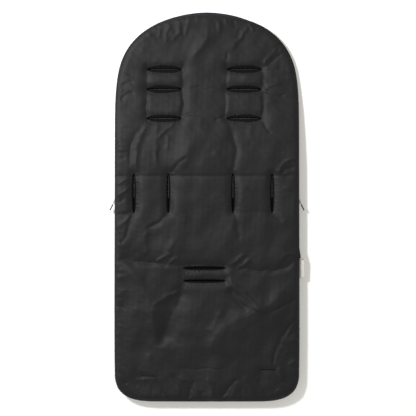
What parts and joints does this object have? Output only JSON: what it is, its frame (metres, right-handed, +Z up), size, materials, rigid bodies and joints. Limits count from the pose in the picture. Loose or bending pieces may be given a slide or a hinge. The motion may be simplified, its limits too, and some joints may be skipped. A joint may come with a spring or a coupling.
{
  "type": "stroller footmuff",
  "caption": "Padded footmuff for a stroller seat: quilted back with harness slots, round head end, zip-off front cover and fleece lining.",
  "frame": {"origin": "on the floor, under the middle of the footmuff's length and width", "axes": "+X to the right and +Y to the head end as seen from above, with the front cover down; +Z up"},
  "size_m": [0.4766, 0.95, 0.0363],
  "materials": {
    "shell_cloth": "woven polyester, matt",
    "lining_fleece": "brushed fleece",
    "wadding": "bonded polyester wadding",
    "black_tape": "woven narrow tape",
    "zip_teeth": "moulded nylon",
    "black_enamel": "gloss enamel on zinc",
    "label_satin": "woven satin"
  },
  "bodies": {
    "back_panel": {"back_lining": "lining_fleece", "back_shell": "shell_cloth", "back_wadding": "wadding", "crotch_lower_slot_facing": "black_tape", "crotch_upper_slot_facing": "black_tape", "foot_gusset": "shell_cloth", "foot_lining": "lining_fleece", "foot_shell": "shell_cloth", "foot_wadding": "wadding", "head_elastic": "black_tape", "left_back_stop": "black_enamel", "left_back_tape": "black_tape", "left_back_teeth": "zip_teeth", "left_bar_tack": "black_tape", "left_bottom_stop": "black_enamel", "left_shoulder_lower_slot_facing": "black_tape", "left_shoulder_middle_slot_facing": "black_tape", "left_shoulder_upper_slot_facing": "black_tape", "left_waist_inner_slot_facing": "black_tape", "left_waist_outer_slot_facing": "black_tape", "right_back_stop": "black_enamel", "right_back_tape": "black_tape", "right_back_teeth": "zip_teeth", "right_bar_tack": "black_tape", "right_bottom_stop": "black_enamel", "right_shoulder_lower_slot_facing": "black_tape", "right_shoulder_middle_slot_facing": "black_tape", "right_shoulder_upper_slot_facing": "black_tape", "right_waist_inner_slot_facing": "black_tape", "right_waist_outer_slot_facing": "black_tape", "side_label": "label_satin"},
    "apron": {"apron_binding": "black_tape", "apron_lining": "lining_fleece", "apron_shell": "shell_cloth", "apron_wadding": "wadding", "left_apron_stop": "black_enamel", "left_apron_tape": "black_tape", "left_apron_teeth": "zip_teeth", "right_apron_stop": "black_enamel", "right_apron_tape": "black_tape", "right_apron_teeth": "zip_teeth"},
    "left_puller": {"left_puller": "black_enamel"},
    "left_slider": {"left_slider": "black_enamel"},
    "right_puller": {"right_puller": "black_enamel"},
    "right_slider": {"right_slider": "black_enamel"}
  },
  "joints": [
    {"name": "apron_fold", "type": "hinge", "parent": "back_panel", "child": "apron", "pos_m": [0, -0.39635, 0], "axis": [-1, 0, 0], "range_deg": [0, 175]},
    {"name": "left_zip", "type": "slide", "parent": "back_panel", "child": "left_slider", "axis": [0, -1, 0], "range_m": [0, 0.387], "deforming": ["left_back_teeth", "left_apron_teeth"]},
    {"name": "left_puller_swing", "type": "hinge", "parent": "left_slider", "child": "left_puller", "pos_m": [-0.2272, 0.0135, 0.01602], "axis": [0, 0, -1], "range_deg": [-26, 154]},
    {"name": "right_zip", "type": "slide", "parent": "back_panel", "child": "right_slider", "axis": [0, -1, 0], "range_m": [0, 0.387], "deforming": ["right_back_teeth", "right_apron_teeth"]},
    {"name": "right_puller_swing", "type": "hinge", "parent": "right_slider", "child": "right_puller", "pos_m": [0.2272, 0.0135, 0.01602], "axis": [0, 0, 1], "range_deg": [-26, 154]}
  ]
}
